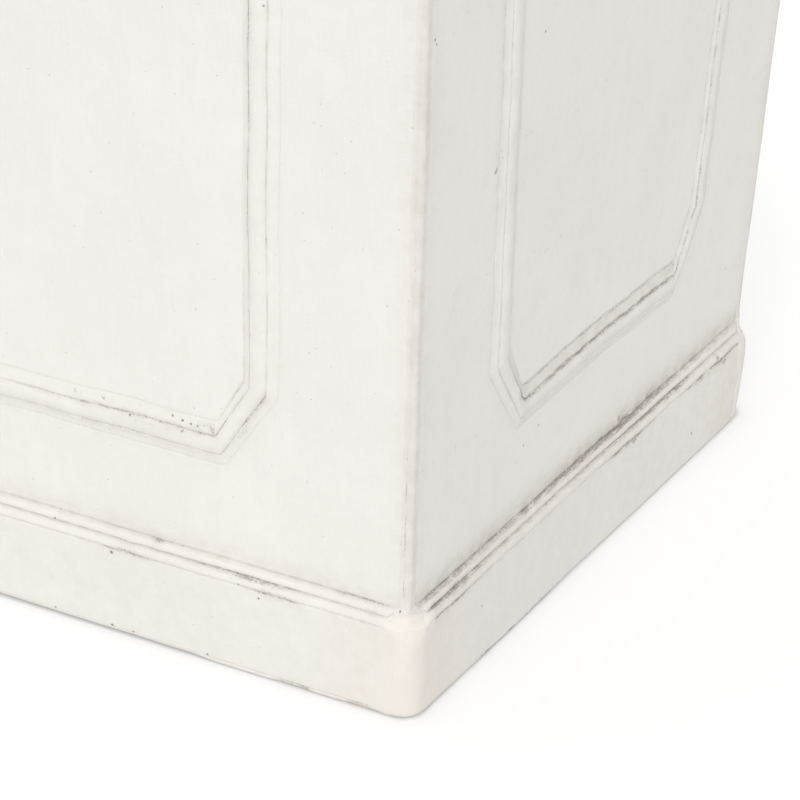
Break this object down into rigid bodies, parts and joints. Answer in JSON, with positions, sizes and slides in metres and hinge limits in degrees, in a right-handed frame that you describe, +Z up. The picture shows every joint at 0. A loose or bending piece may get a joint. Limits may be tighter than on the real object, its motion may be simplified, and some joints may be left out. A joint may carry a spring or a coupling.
{
  "type": "square cast planter",
  "caption": "Tall square tapered planter of mitred cast panels with raised clipped-corner frames, plinth and rim, mortared corners, a floor slab and a lift-out drain plug.",
  "frame": {"origin": "on the floor, in the middle of the square footprint", "axes": "+Z up along the planter's height; the front wall faces -Y and the right wall faces +X"},
  "size_m": [0.457, 0.457, 0.61],
  "materials": {
    "cast_panel": "brushed antique white coating on a cast body, matte, with grey-brown patina in the grooves",
    "corner_mortar": "brushed mortar under the same coating, slightly warmer, matte",
    "floor_slab": "uncoated cast surface, matte",
    "plug_rubber": "moulded black rubber, matte"
  },
  "bodies": {
    "planter": {"wall_front": "cast_panel", "wall_right": "cast_panel", "wall_back": "cast_panel", "wall_left": "cast_panel", "corner_fill_front_right": "corner_mortar", "corner_fill_back_right": "corner_mortar", "corner_fill_back_left": "corner_mortar", "corner_fill_front_left": "corner_mortar", "base_slab": "floor_slab"},
    "plug": {"drain_plug": "plug_rubber"}
  },
  "joints": [
    {"name": "drain_plug_lift", "type": "slide", "parent": "planter", "child": "plug", "axis": [0, 0, 1], "range_m": [0, 0.58]}
  ]
}
